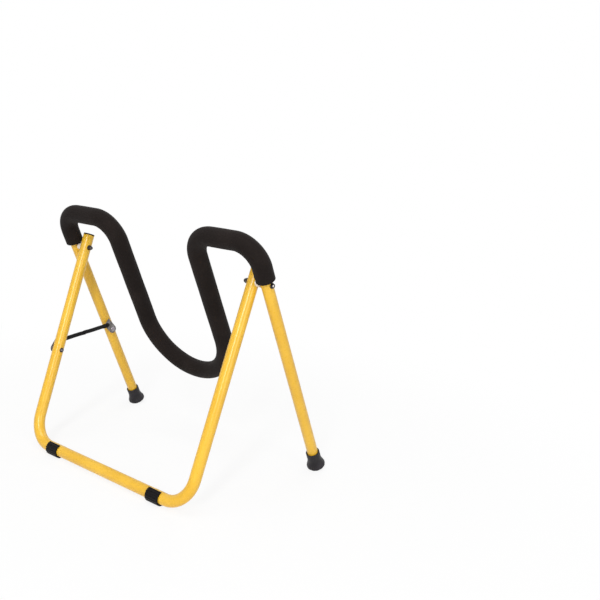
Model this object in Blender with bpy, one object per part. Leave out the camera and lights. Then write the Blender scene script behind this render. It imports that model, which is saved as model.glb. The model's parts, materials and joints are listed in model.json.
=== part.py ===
"""Folding stand that carries a paddleboard in a padded cradle.

Two bent steel tube frames cross on a pair of pivot bolts. The base frame is a U with its bar
on the floor, the saddle frame has two legs, two top loops and a U-shaped cradle, and a stay
of two links holds the frames open on the left side.

Both frames are modelled upright, in the plane of X and Z, with the pivot axis along X through
the local origin. Two empties on that axis then lean them apart. Left is -X, the base bar is
towards -Y, and the floor is Z = 0.
"""
import math

import bmesh
import bpy
from mathutils import Vector

HALF_TURN = math.pi

# Clearance between pieces that touch or fit together
FIT_GAP = 0.0003

# Finest turn of a plate's rounded outline, and the depth of the block that stands for the floor
BELT_STEP = math.radians(14)
FLOOR_DEPTH = 0.05

# Tube of both frames
TUBE_RADIUS = 0.0127
TUBE_WALL = 0.0015
TUBE_SIDES = 20

# Base frame
BASE_DROP = 0.473
ARM_SPACING_AT_BAR = 0.501
ARM_ABOVE_PIVOT = 0.030
BASE_CORNER_RADIUS = 0.062
BASE_CORNER_STEPS = 9

# Saddle frame
LEG_DROP = 0.506
LEG_SPACING_AT_PIVOT = 0.597
LEG_SPACING_AT_SOLE = 0.6186
LOOP_RISE = 0.093
LOOP_RADIUS = 0.055
CRADLE_WIDTH = 0.248
CRADLE_DROP = 0.303
LOOP_STEPS = 6
CRADLE_STEPS = 7

# How far the frames stand open
OPEN_ANGLE = math.radians(44.7)

# Foam sleeve
FOAM_RADIUS = 0.0207
FOAM_ABOVE_PIVOT = 0.010

# Rubber feet
SOLE_RADIUS = 0.0215
SOLE_EDGE = 0.006
SOLE_ROUNDING = 0.002
SOLE_THICKNESS = 0.009
FOOT_HEIGHT = 0.043
FOOT_COLLAR_RADIUS = 0.016
FOOT_FLARE_HEIGHT = 0.019
FOOT_FLARE_CURVE = 1.6
FOOT_FLARE_STEPS = 5
FOOT_FLAT_DEPTH = 0.002

# Floor clips
CLIP_WALL = 0.0038
CLIP_LENGTH = 0.036
CLIP_SPACING = 0.330
CLIP_FLAT_DEPTH = 0.0005
CLIP_RIB_DEPTH = 0.0006
CLIP_RIBS = 10
CLIP_SLOT_DIRECTION = math.radians(61.0)
CLIP_SLOT_WIDTH = math.radians(84.0)
CLIP_LAND = math.radians(40.0)

# End plugs
PLUG_CAP = 0.003
PLUG_STEM = 0.014
PLUG_CROWN = 0.0005

# Bolts, washers and cap nuts
BOLT_RADIUS = 0.003
PIVOT_HEAD_RADIUS = 0.005
PIVOT_HEAD_HEIGHT = 0.0032
WASHER_RADIUS = 0.0062
WASHER_THICKNESS = 0.0012
NUT_ACROSS_FLATS = 0.010
NUT_HEX_HEIGHT = 0.0045
NUT_DOME_RADIUS = 0.0047
NUT_DOME_HEIGHT = 0.0048
NUT_BORE_DEPTH = 0.007
THREAD_IN_NUT = 0.006

# Nylon spacers between arm and leg
SPACER_LENGTH = 0.0101
SPACER_RADIUS = 0.0085
SPACER_WRAP = 0.003

# Stay. Forward is from a bracket's tube towards the other frame.
STAY_ANCHOR_DROP = 0.2545
STAY_PIVOT_RISE = 0.0204
STAY_PIVOT_FORWARD = 0.0114
ANCHOR_HEAD_RADIUS = 0.0062
ANCHOR_HEAD_HEIGHT = 0.0024
ANCHOR_TAIL_RADIUS = 0.0056
ANCHOR_TAIL_HEIGHT = 0.0016
ANCHOR_BORE_RADIUS = 0.0018
ANCHOR_BORE_DEPTH = 0.004
LINK_THICKNESS = 0.0025
LINK_HALF_WIDTH = 0.0050
LINK_END_HALF_WIDTH = 0.0058
LINK_END_LENGTH = 0.012
LINK_TAPER = 0.006
LINK_STEP_START = 0.016
LINK_STEP_END = 0.026
ELBOW_HEAD_RADIUS = 0.0036
ELBOW_HEAD_HEIGHT = 0.001
RIVET_RADIUS = 0.0025
RIVET_HEAD_RADIUS = 0.0045
RIVET_HEAD_HEIGHT = 0.0015
BRACKET_THICKNESS = 0.002
BRACKET_STANDOFF = 0.0008
BRACKET_FOOT_RADIUS = 0.0105
BRACKET_EAR_RADIUS = 0.006
BRACKET_APEX_RISE = 0.030
BRACKET_APEX_FORWARD = 0.001
BRACKET_APEX_RADIUS = 0.003
SEAT_RADIUS = 0.009
SEAT_WRAP = 0.003

# What follows from the sizes above
CLIP_RADIUS = TUBE_RADIUS + FIT_GAP + CLIP_WALL
BORE_RADIUS = BOLT_RADIUS + FIT_GAP
RIVET_BORE = RIVET_RADIUS + FIT_GAP
ARM_SPACING_AT_PIVOT = LEG_SPACING_AT_PIVOT - 2 * (2 * TUBE_RADIUS + SPACER_LENGTH)
ARM_SLOPE = (ARM_SPACING_AT_PIVOT - ARM_SPACING_AT_BAR) / 2 / BASE_DROP
LEG_SLOPE = (LEG_SPACING_AT_SOLE - LEG_SPACING_AT_PIVOT) / 2 / LEG_DROP


def base_lean():
    """Angle of the base frame from upright at which clips and feet both meet the floor."""
    bar_height = CLIP_RADIUS - CLIP_FLAT_DEPTH
    along = BASE_DROP - LEG_DROP * math.cos(OPEN_ANGLE) - SOLE_RADIUS * math.sin(OPEN_ANGLE)
    across = LEG_DROP * math.sin(OPEN_ANGLE) - SOLE_RADIUS * math.cos(OPEN_ANGLE)
    reach = math.hypot(along, across)
    return math.acos(-(bar_height + FOOT_FLAT_DEPTH) / reach) - math.atan2(across, along)


BASE_LEAN = base_lean()
SADDLE_LEAN = OPEN_ANGLE - BASE_LEAN
PIVOT_HEIGHT = BASE_DROP * math.cos(BASE_LEAN) + CLIP_RADIUS - CLIP_FLAT_DEPTH
FRONT_REACH = BASE_DROP * math.sin(BASE_LEAN) + CLIP_RADIUS
REAR_REACH = LEG_DROP * math.sin(SADDLE_LEAN) + SOLE_RADIUS * math.cos(SADDLE_LEAN)
PIVOT = Vector((0, (FRONT_REACH - REAR_REACH) / 2, PIVOT_HEIGHT))

LINK_PIVOT_DROP = STAY_ANCHOR_DROP - STAY_PIVOT_RISE
LINK_PIVOT_REACH = math.hypot(LINK_PIVOT_DROP, STAY_PIVOT_FORWARD)
LINK_PIVOT_OFFSET = math.atan2(STAY_PIVOT_FORWARD, LINK_PIVOT_DROP)
STAY_TUBES_SPREAD = STAY_ANCHOR_DROP * (ARM_SLOPE + LEG_SLOPE)
STAY_TUBES_APART = (LEG_SPACING_AT_PIVOT - ARM_SPACING_AT_PIVOT) / 2 + STAY_TUBES_SPREAD
BRACKET_FACE = TUBE_RADIUS + BRACKET_STANDOFF + BRACKET_THICKNESS
LINK_STEP = STAY_TUBES_APART / 2 - BRACKET_FACE - LINK_THICKNESS - 1.5 * FIT_GAP
LINK_LENGTH = LINK_PIVOT_REACH * math.sin(OPEN_ANGLE / 2 - LINK_PIVOT_OFFSET)
LINK_OPEN_ANGLE = HALF_TURN / 2 - OPEN_ANGLE / 2


def arm_x(height):
    """Distance of a base arm's centre from the middle, at a height above the pivot."""
    return ARM_SPACING_AT_PIVOT / 2 + ARM_SLOPE * height


def leg_x(height):
    """Distance of a saddle leg's centre from the middle, at a height above the pivot."""
    return LEG_SPACING_AT_PIVOT / 2 - LEG_SLOPE * height


def material(name, colour, roughness, metallic=0.0):
    made = bpy.data.materials.new(name)
    made.use_nodes = True
    shader = made.node_tree.nodes["Principled BSDF"]
    shader.inputs["Base Color"].default_value = (*colour, 1.0)
    shader.inputs["Roughness"].default_value = roughness
    shader.inputs["Metallic"].default_value = metallic
    return made


def axis_empty(name, location, rotation, parent=None):
    empty = bpy.data.objects.new(name, None)
    empty.location = location
    empty.rotation_euler = rotation
    empty.parent = parent
    bpy.context.collection.objects.link(empty)
    return empty


def finish(name, mesh_data, coat, parent=None, location=(0, 0, 0), rotation=(0, 0, 0)):
    """Turns a bmesh into an object with outward faces, shaded smooth up to 35 degrees."""
    bmesh.ops.recalc_face_normals(mesh_data, faces=mesh_data.faces)
    mesh = bpy.data.meshes.new(name)
    mesh_data.to_mesh(mesh)
    mesh_data.free()
    mesh.shade_smooth()
    mesh.set_sharp_from_angle(angle=math.radians(35))
    piece = bpy.data.objects.new(name, mesh)
    piece.location = location
    piece.rotation_euler = rotation
    piece.parent = parent
    bpy.context.collection.objects.link(piece)
    if coat:
        mesh.materials.append(coat)
    return piece


def modify(piece, cutter, operation="DIFFERENCE"):
    """Cuts or joins a piece by another object, which stays as a hidden guide."""
    cutter.hide_render = True
    cutter.display_type = "WIRE"
    boolean = piece.modifiers.new(cutter.name, "BOOLEAN")
    boolean.operation = operation
    boolean.object = cutter


def ring_faces(mesh_data, first, second):
    for i in range(len(first)):
        j = (i + 1) % len(first)
        mesh_data.faces.new((first[i], first[j], second[j], second[i]))


def filleted(corners, radii, steps):
    """Points and directions along straight runs joined by arcs, in the X-Z plane."""
    runs = [Vector(corner) for corner in corners]
    path = [(runs[0], (runs[1] - runs[0]).normalized())]
    for before, corner, after, radius, count in zip(runs, runs[1:], runs[2:], radii, steps):
        arriving = (corner - before).normalized()
        leaving = (after - corner).normalized()
        turn = arriving.angle_signed(leaving)
        start = corner - arriving * radius * math.tan(abs(turn) / 2)
        side = Vector((arriving.y, -arriving.x)) * math.copysign(1.0, turn)
        centre = start + side * radius
        for step in range(count + 1):
            swing = -turn * step / count
            spoke = -side
            point = centre + radius * Vector((
                spoke.x * math.cos(swing) - spoke.y * math.sin(swing),
                spoke.x * math.sin(swing) + spoke.y * math.cos(swing)))
            heading = Vector((
                arriving.x * math.cos(swing) - arriving.y * math.sin(swing),
                arriving.x * math.sin(swing) + arriving.y * math.cos(swing)))
            if (point - path[-1][0]).length > TUBE_WALL:
                path.append((point, heading))
    path.append((runs[-1], (runs[-1] - runs[-2]).normalized()))
    return path


def swept_tube(name, path, outer, inner, coat, parent):
    """A hollow round tube along a path in the X-Z plane."""
    mesh_data = bmesh.new()
    skins = []
    for radius in (outer, inner):
        rings = []
        for point, heading in path:
            across = Vector((-heading.y, 0, heading.x))
            centre = Vector((point.x, 0, point.y))
            ring = []
            for i in range(TUBE_SIDES):
                angle = 2 * HALF_TURN * i / TUBE_SIDES
                spoke = across * math.cos(angle) + Vector((0, 1, 0)) * math.sin(angle)
                ring.append(mesh_data.verts.new(centre + spoke * radius))
            rings.append(ring)
        for first, second in zip(rings, rings[1:]):
            ring_faces(mesh_data, first, second)
        skins.append(rings)
    for end in (0, -1):
        ring_faces(mesh_data, skins[0][end], skins[1][end])
    return finish(name, mesh_data, coat, parent)


def turned(name, outline, coat=None, parent=None, location=(0, 0, 0), rotation=(0, 0, 0),
           sides=24, ring=False):
    """A shape turned about its local X axis, from (distance along X, radius) pairs.

    A third value of True makes that step of the outline six-sided. A ring's outline is a
    closed loop clear of the axis; any other outline starts and ends on the axis.
    """
    mesh_data = bmesh.new()
    loops = []
    for along, radius, *hexagonal in outline:
        if radius == 0:
            loops.append([mesh_data.verts.new((along, 0, 0))])
            continue
        loop = []
        for i in range(sides):
            angle = 2 * HALF_TURN * i / sides
            off_flat = (angle + HALF_TURN / 6) % (HALF_TURN / 3) - HALF_TURN / 6
            corner = HALF_TURN / 6 - abs(off_flat)
            reach = radius / math.cos(corner) if hexagonal else radius
            loop.append(mesh_data.verts.new((along, reach * math.cos(angle), reach * math.sin(angle))))
        loops.append(loop)
    if ring:
        loops.append(loops[0])
    for first, second in zip(loops, loops[1:]):
        if len(first) == len(second):
            ring_faces(mesh_data, first, second)
            continue
        pole, rim = (first[0], second) if len(first) == 1 else (second[0], first)
        for i in range(sides):
            mesh_data.faces.new((rim[i], rim[(i + 1) % sides], pole))
    return finish(name, mesh_data, coat, parent, location, rotation)


def rod(name, length, radius, parent, location, rotation=(0, 0, 0), sides=24):
    """A plain round bar centred on its location, for drilling and shaping."""
    outline = [(-length / 2, 0), (-length / 2, radius), (length / 2, radius), (length / 2, 0)]
    return turned(name, outline, None, parent, location, rotation, sides)


def plate(name, outline, low, high, coat, parent, step=0.0):
    """A plate from a (Y, Z) outline, between two places along X.

    A step moves what is above the links' step height along X by that much.
    """
    mesh_data = bmesh.new()
    near = [mesh_data.verts.new((low, y, z)) for y, z in outline]
    far = [mesh_data.verts.new((high, y, z)) for y, z in outline]
    ring_faces(mesh_data, near, far)
    mesh_data.faces.new(near)
    mesh_data.faces.new(far)
    if step:
        for height in (LINK_STEP_START, LINK_STEP_END):
            everything = mesh_data.verts[:] + mesh_data.edges[:] + mesh_data.faces[:]
            bmesh.ops.bisect_plane(mesh_data, geom=everything, plane_co=(0, 0, height), plane_no=(0, 0, 1))
        for vertex in mesh_data.verts:
            share = (vertex.co.z - LINK_STEP_START) / (LINK_STEP_END - LINK_STEP_START)
            vertex.co.x += step * min(1.0, max(0.0, share))
    return finish(name, mesh_data, coat, parent)


def on_circle(radius, angle, centre_y=0.0, centre_z=0.0):
    """A point of a circle in the Y-Z plane, with the angle counted from +Y towards +Z."""
    return centre_y + radius * math.cos(angle), centre_z + radius * math.sin(angle)


def arc(centre_y, centre_z, radius, start, end, steps):
    angles = [start + (end - start) * i / steps for i in range(steps + 1)]
    return [on_circle(radius, angle, centre_y, centre_z) for angle in angles]


def belt(circles):
    """Outline of a belt pulled round circles, given anticlockwise as (Y, Z, radius)."""
    turns = []
    for (y, z, radius), (next_y, next_z, next_radius) in zip(circles, circles[1:] + circles[:1]):
        apart = math.hypot(next_y - y, next_z - z)
        heading = math.atan2(next_z - z, next_y - y)
        turns.append(heading - HALF_TURN / 2 + math.asin((radius - next_radius) / apart))
    outline = []
    for i, (y, z, radius) in enumerate(circles):
        wrap = (turns[i] - turns[i - 1]) % (2 * HALF_TURN)
        outline += arc(y, z, radius, turns[i - 1], turns[i - 1] + wrap, math.ceil(wrap / BELT_STEP))
    return outline


def dome(start, height, radius, steps, direction=1):
    """Outline of a rounded head, from its rim to the axis."""
    outline = []
    for i in range(steps + 1):
        angle = HALF_TURN / 2 * i / steps
        width = 0 if i == steps else radius * math.cos(angle)
        outline.append((start + direction * height * math.sin(angle), width))
    return outline


def bolt(name, head_radius, head_height, length, coat, parent, location, rotation):
    """A round-headed bolt with its head's underside at its origin and its shank along +X."""
    outline = dome(0, head_height, head_radius, 4, -1)[::-1]
    outline += [(0, BOLT_RADIUS), (length, BOLT_RADIUS), (length, 0)]
    return turned(name, outline, coat, parent, location, rotation, sides=18)


def washer(name, coat, parent, location, rotation):
    outline = [(0, BORE_RADIUS), (0, WASHER_RADIUS),
               (WASHER_THICKNESS, WASHER_RADIUS), (WASHER_THICKNESS, BORE_RADIUS)]
    return turned(name, outline, coat, parent, location, rotation, sides=18, ring=True)


def cap_nut(name, coat, parent, location, rotation):
    """A hexagon nut with a dome and a blind bore, its seat at its origin."""
    half_flats = NUT_ACROSS_FLATS / 2
    outline = [(NUT_BORE_DEPTH, 0), (NUT_BORE_DEPTH, BORE_RADIUS), (0, BORE_RADIUS),
               (0, half_flats, True), (NUT_HEX_HEIGHT, half_flats, True)]
    outline += dome(NUT_HEX_HEIGHT, NUT_DOME_HEIGHT, NUT_DOME_RADIUS, 4)
    return turned(name, outline, coat, parent, location, rotation, sides=18)


def facing(side):
    """Rotation that points a piece's +X away from the middle on one side of the stand."""
    return (0, 0, 0 if side > 0 else HALF_TURN)


def frame_slant(slope, side):
    """Rotation that turns a piece's +X into a slanted tube's upward direction."""
    return (0, -HALF_TURN / 2 + side * math.atan(slope), 0)


def base_path():
    low = arm_x(-BASE_DROP)
    top = arm_x(ARM_ABOVE_PIVOT)
    corners = [(-top, ARM_ABOVE_PIVOT), (-low, -BASE_DROP), (low, -BASE_DROP), (top, ARM_ABOVE_PIVOT)]
    return filleted(corners, [BASE_CORNER_RADIUS] * 2, [BASE_CORNER_STEPS] * 2)


def saddle_path(end_height):
    """The saddle frame's line from one leg to the other, both cut at a height from the pivot."""
    end = leg_x(end_height)
    top = leg_x(LOOP_RISE)
    wide = CRADLE_WIDTH / 2
    half = [(-end, end_height), (-top, LOOP_RISE), (-wide, LOOP_RISE), (-wide, -CRADLE_DROP)]
    corners = half + [(-x, z) for x, z in reversed(half)]
    radii = [LOOP_RADIUS, LOOP_RADIUS, wide, wide, LOOP_RADIUS, LOOP_RADIUS]
    steps = [LOOP_STEPS, LOOP_STEPS, CRADLE_STEPS, CRADLE_STEPS, LOOP_STEPS, LOOP_STEPS]
    return filleted(corners, radii, steps)


def drill(piece, name, parent, x, height, radius, y=0.0):
    """Cuts a hole along X through one tube or plate."""
    cutter = rod(name, 4 * TUBE_RADIUS, radius, parent, (x, y, height), sides=18)
    modify(piece, cutter)


def make_base_frame(axis, paint):
    tube = swept_tube("base_tube", base_path(), TUBE_RADIUS, TUBE_RADIUS - TUBE_WALL, paint, axis)
    for side in (-1, 1):
        drill(tube, "arm_pivot_hole", axis, side * arm_x(0), 0, BORE_RADIUS)
    drill(tube, "arm_stay_hole", axis, -arm_x(-STAY_ANCHOR_DROP), -STAY_ANCHOR_DROP, BORE_RADIUS)


def make_saddle_frame(axis, paint):
    tube_end = -(LEG_DROP - SOLE_THICKNESS - FIT_GAP)
    path = saddle_path(tube_end)
    tube = swept_tube("saddle_tube", path, TUBE_RADIUS, TUBE_RADIUS - TUBE_WALL, paint, axis)
    for side in (-1, 1):
        drill(tube, "leg_pivot_hole", axis, side * leg_x(0), 0, BORE_RADIUS)
    drill(tube, "leg_stay_hole", axis, -leg_x(-STAY_ANCHOR_DROP), -STAY_ANCHOR_DROP, BORE_RADIUS)


def make_foam_sleeve(axis, foam):
    path = saddle_path(FOAM_ABOVE_PIVOT)
    swept_tube("foam_sleeve", path, FOAM_RADIUS, TUBE_RADIUS + FIT_GAP, foam, axis)


def make_end_plug(name, side, axis, plastic):
    stem_radius = TUBE_RADIUS - TUBE_WALL - FIT_GAP
    outline = [(-PLUG_STEM, 0), (-PLUG_STEM, stem_radius - PLUG_CROWN),
               (-PLUG_STEM + PLUG_CROWN, stem_radius), (FIT_GAP, stem_radius),
               (FIT_GAP, TUBE_RADIUS), (PLUG_CAP - PLUG_CROWN, TUBE_RADIUS),
               (PLUG_CAP, TUBE_RADIUS - PLUG_CROWN), (PLUG_CAP + PLUG_CROWN, 0)]
    top = (side * arm_x(ARM_ABOVE_PIVOT), 0, ARM_ABOVE_PIVOT)
    turned(name, outline, plastic, axis, top, frame_slant(side * ARM_SLOPE, 1))


def make_floor_clip(name, side, axis, plastic, floor):
    """A ribbed C-shaped clip with a plain land underneath, in the base frame's leaning plane."""
    slot = CLIP_SLOT_DIRECTION + BASE_LEAN
    down = -HALF_TURN / 2 + BASE_LEAN
    bore = TUBE_RADIUS + FIT_GAP
    outline = arc(0, 0, bore, slot - CLIP_SLOT_WIDTH / 2, slot + CLIP_SLOT_WIDTH / 2 - 2 * HALF_TURN, 24)
    first_rib = slot + CLIP_SLOT_WIDTH / 2
    land_start = down + 2 * HALF_TURN - CLIP_LAND / 2
    land_end = land_start + CLIP_LAND
    last_rib = slot - CLIP_SLOT_WIDTH / 2 + 2 * HALF_TURN
    for start, end, ribs in ((first_rib, land_start, CLIP_RIBS), (land_end, last_rib, CLIP_RIBS // 2)):
        pitch = (end - start) / ribs
        for rib in range(ribs):
            for share, depth in ((0.1, 0), (0.6, 0), (0.7, CLIP_RIB_DEPTH), (0.95, CLIP_RIB_DEPTH)):
                outline.append(on_circle(CLIP_RADIUS - depth, start + pitch * (rib + share)))
        if end == land_start:
            outline += arc(0, 0, CLIP_RADIUS, land_start, land_end, 6)
    outline = [(y, z - BASE_DROP) for y, z in outline]
    middle = side * CLIP_SPACING / 2
    low, high = middle - CLIP_LENGTH / 2, middle + CLIP_LENGTH / 2
    clip = plate(name, outline, low, high, plastic, axis)
    modify(clip, floor)


def make_foot(name, side, axis, rubber, floor):
    """A flared foot over the leg's end, turned about the leg, with its sole at X = 0."""
    bore = TUBE_RADIUS + FIT_GAP
    flare = []
    for step in range(FOOT_FLARE_STEPS + 1):
        share = step / FOOT_FLARE_STEPS
        spread = (1 - share) ** FOOT_FLARE_CURVE
        radius = FOOT_COLLAR_RADIUS + (SOLE_RADIUS - FOOT_COLLAR_RADIUS) * spread
        flare.append((SOLE_EDGE + FOOT_FLARE_HEIGHT * share, radius))
    outline = [(0, 0), (0, SOLE_RADIUS - SOLE_ROUNDING), (SOLE_ROUNDING, SOLE_RADIUS)] + flare
    outline += [(FOOT_HEIGHT, FOOT_COLLAR_RADIUS), (FOOT_HEIGHT, bore),
                (SOLE_THICKNESS, bore), (SOLE_THICKNESS, 0)]
    sole = (side * leg_x(-LEG_DROP), 0, -LEG_DROP)
    foot = turned(name, outline, rubber, axis, sole, frame_slant(-side * LEG_SLOPE, 1))
    modify(foot, floor)


def make_pivot(side, axis, steel, nylon):
    """Bolt with its head outside the leg, spacer, washers, and cap nut inside the arm."""
    word = "left" if side < 0 else "right"
    outward = facing(side)
    inward = facing(-side)
    arm_face = arm_x(0) + TUBE_RADIUS
    outer_seat = leg_x(0) + TUBE_RADIUS + FIT_GAP
    head = outer_seat + WASHER_THICKNESS + FIT_GAP
    inner_seat = arm_x(0) - TUBE_RADIUS - FIT_GAP
    nut_seat = inner_seat - WASHER_THICKNESS - FIT_GAP
    bolt("pivot_bolt_" + word, PIVOT_HEAD_RADIUS, PIVOT_HEAD_HEIGHT,
         head - nut_seat + THREAD_IN_NUT, steel, axis, (side * head, 0, 0), inward)
    washer("pivot_outer_washer_" + word, steel, axis, (side * outer_seat, 0, 0), outward)
    washer("pivot_inner_washer_" + word, steel, axis, (side * inner_seat, 0, 0), inward)
    cap_nut("pivot_cap_nut_" + word, steel, axis, (side * nut_seat, 0, 0), inward)
    near, far = -SPACER_WRAP, SPACER_LENGTH - FIT_GAP
    outline = [(near, BORE_RADIUS), (near, SPACER_RADIUS), (far, SPACER_RADIUS), (far, BORE_RADIUS)]
    spacer = turned("pivot_spacer_" + word, outline, nylon, axis, (side * arm_face, 0, 0), outward, ring=True)
    modify(spacer, tube_shape("spacer_saddle_" + word, axis, side * arm_x(0), 0, side * ARM_SLOPE))


def tube_shape(name, axis, x, height, slope):
    """The space a frame tube takes, with its fit gap, for shaping what seats on it."""
    length = 6 * TUBE_RADIUS
    radius = TUBE_RADIUS + FIT_GAP
    return rod(name, length, radius, axis, (x, 0, height), frame_slant(slope, 1), sides=48)


def make_bracket(end, axis, tube_x, slope, inward, steel, bright):
    """Flat bracket, its rivet through the tube and its link rivet, on one tube of the left side.

    inward is the direction along X from the tube to the links. The rivet through the tube has
    a round head on the bracket and a rolled hollow tail on the tube's far side.
    """
    forward = -inward * STAY_PIVOT_FORWARD
    face = tube_x + inward * BRACKET_FACE
    back = face - inward * BRACKET_THICKNESS
    circles = [(0, 0, BRACKET_FOOT_RADIUS), (STAY_PIVOT_FORWARD, STAY_PIVOT_RISE, BRACKET_EAR_RADIUS),
               (BRACKET_APEX_FORWARD, BRACKET_APEX_RISE, BRACKET_APEX_RADIUS)]
    outline = [(-inward * y, z - STAY_ANCHOR_DROP) for y, z in belt(circles)]
    bracket = plate("stay_bracket_" + end, outline, min(face, back), max(face, back), steel, axis)
    seat_back = tube_x + inward * (TUBE_RADIUS - SEAT_WRAP)
    seat_front = (face + back) / 2
    seat = rod("seat_" + end, abs(seat_front - seat_back), SEAT_RADIUS, axis,
               ((seat_front + seat_back) / 2, 0, -STAY_ANCHOR_DROP), sides=32)
    modify(bracket, seat, "UNION")
    modify(bracket, tube_shape("bracket_saddle_" + end, axis, tube_x, -STAY_ANCHOR_DROP, slope))
    drill(bracket, "bracket_anchor_hole_" + end, axis, face, -STAY_ANCHOR_DROP, BORE_RADIUS)
    drill(bracket, "bracket_pivot_hole_" + end, axis, face, -LINK_PIVOT_DROP, RIVET_BORE, forward)

    length = BRACKET_FACE + TUBE_RADIUS + 2 * FIT_GAP
    tail_end = length + ANCHOR_TAIL_HEIGHT
    anchor = dome(0, ANCHOR_HEAD_HEIGHT, ANCHOR_HEAD_RADIUS, 4, -1)[::-1]
    anchor += [(0, BOLT_RADIUS), (length, BOLT_RADIUS), (length, ANCHOR_TAIL_RADIUS),
               (tail_end, BOLT_RADIUS), (tail_end, ANCHOR_BORE_RADIUS),
               (tail_end - ANCHOR_BORE_DEPTH, ANCHOR_BORE_RADIUS), (tail_end - ANCHOR_BORE_DEPTH, 0)]
    turned("stay_anchor_" + end, anchor, bright, axis,
           (face + inward * FIT_GAP, 0, -STAY_ANCHOR_DROP), facing(-inward), sides=18)
    grip = BRACKET_THICKNESS + LINK_THICKNESS + 2 * FIT_GAP
    rivet = dome(-FIT_GAP, RIVET_HEAD_HEIGHT, RIVET_HEAD_RADIUS, 3, -1)[::-1]
    rivet += [(-FIT_GAP, RIVET_RADIUS), (grip, RIVET_RADIUS)]
    rivet += dome(grip, RIVET_HEAD_HEIGHT, RIVET_HEAD_RADIUS, 3)
    turned("stay_rivet_" + end, rivet, steel, axis, (back, forward, -LINK_PIVOT_DROP),
           facing(inward), sides=16)


def link_outline():
    """A stay link from its pivot at the origin to its elbow above it."""
    low_round = arc(0, 0, LINK_END_HALF_WIDTH, -HALF_TURN, 0, 10)
    side = [(LINK_END_HALF_WIDTH, LINK_END_LENGTH), (LINK_HALF_WIDTH, LINK_END_LENGTH + LINK_TAPER)]
    elbow = arc(0, LINK_LENGTH, LINK_HALF_WIDTH, 0, HALF_TURN, 14)
    return low_round + side + elbow + [(-y, z) for y, z in reversed(side)]


def make_link(end, axis, inward, black):
    """One stay link and its half of the elbow rivet, about the link's pivot.

    inward is the direction along X from the link's bracket to the other link. The link lies
    against its bracket at the pivot and steps over to the other link at the elbow.
    """
    outer = -inward * (FIT_GAP / 2 + LINK_THICKNESS)
    at_pivot = outer - inward * LINK_STEP
    low = min(at_pivot, at_pivot + inward * LINK_THICKNESS)
    high = low + LINK_THICKNESS
    link = plate("stay_link_" + end, link_outline(), low, high, black, axis, inward * LINK_STEP)
    drill(link, "link_pivot_hole_" + end, axis, at_pivot, 0, RIVET_BORE)
    drill(link, "link_elbow_hole_" + end, axis, 0, LINK_LENGTH, RIVET_BORE)
    rivet = dome(-FIT_GAP, ELBOW_HEAD_HEIGHT, ELBOW_HEAD_RADIUS, 3, -1)[::-1]
    rivet += [(-FIT_GAP, RIVET_RADIUS), (LINK_THICKNESS, RIVET_RADIUS), (LINK_THICKNESS, 0)]
    turned("elbow_rivet_" + end, rivet, black, axis, (outer, 0, LINK_LENGTH), facing(inward), sides=16)


def floor_block():
    """Everything under the floor, which trims feet and clips flat."""
    mesh_data = bmesh.new()
    bmesh.ops.create_cube(mesh_data, size=1.0)
    block = finish("floor_block", mesh_data, None)
    span = 2 * LEG_DROP + LEG_SPACING_AT_SOLE
    for vertex in block.data.vertices:
        vertex.co = Vector((vertex.co.x * span, vertex.co.y * span, (vertex.co.z - 0.5) * FLOOR_DEPTH))
    return block


def main():
    for existing in list(bpy.data.objects):
        bpy.data.objects.remove(existing, do_unlink=True)

    paint = material("yellow powder coat", (0.94, 0.55, 0.045), 0.3)
    foam = material("black foam", (0.028, 0.024, 0.023), 0.85)
    rubber = material("dark grey rubber", (0.035, 0.035, 0.038), 0.6)
    plastic = material("black plastic", (0.015, 0.015, 0.015), 0.45)
    bright = material("bright steel", (0.78, 0.78, 0.8), 0.15, 1.0)
    grey = material("zinc plated steel", (0.55, 0.55, 0.56), 0.35, 1.0)
    nylon = material("natural nylon", (0.78, 0.7, 0.58), 0.4)
    black = material("black coated steel", (0.012, 0.012, 0.012), 0.4)

    base_axis = axis_empty("base_axis", PIVOT, (-BASE_LEAN, 0, 0))
    saddle_axis = axis_empty("saddle_axis", PIVOT, (SADDLE_LEAN, 0, 0))
    link_x = -(arm_x(-STAY_ANCHOR_DROP) + leg_x(-STAY_ANCHOR_DROP)) / 2
    front_pivot = (link_x, STAY_PIVOT_FORWARD, -LINK_PIVOT_DROP)
    rear_pivot = (link_x, -STAY_PIVOT_FORWARD, -LINK_PIVOT_DROP)
    front_axis = axis_empty("stay_front_axis", front_pivot, (-LINK_OPEN_ANGLE, 0, 0), base_axis)
    rear_axis = axis_empty("stay_rear_axis", rear_pivot, (LINK_OPEN_ANGLE, 0, 0), saddle_axis)
    floor = floor_block()

    make_base_frame(base_axis, paint)
    make_saddle_frame(saddle_axis, paint)
    make_foam_sleeve(saddle_axis, foam)
    for side, word in ((-1, "left"), (1, "right")):
        make_end_plug("end_plug_" + word, side, base_axis, plastic)
        make_floor_clip("floor_clip_" + word, side, base_axis, plastic, floor)
        make_foot("rubber_foot_" + word, side, saddle_axis, rubber, floor)
        make_pivot(side, base_axis, bright, nylon)

    arm = -arm_x(-STAY_ANCHOR_DROP)
    leg = -leg_x(-STAY_ANCHOR_DROP)
    make_bracket("front", base_axis, arm, -ARM_SLOPE, -1, grey, bright)
    make_bracket("rear", saddle_axis, leg, LEG_SLOPE, 1, grey, bright)
    make_link("front", front_axis, -1, black)
    make_link("rear", rear_axis, 1, black)


main()
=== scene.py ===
"""Looks of the folding paddleboard stand: one or two finer pieces replace each CAD node.

The pieces of a frame are modelled upright in that frame's plane, with X across the stand, Z up
along the tubes and the pivot axis along X through the origin. A matrix worked out from the
joints then leans them into the stand. Left is -X, and lengths are in metres.
"""
import json
import math

import bmesh
import bpy
from mathutils import Matrix, Vector, noise


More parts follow.
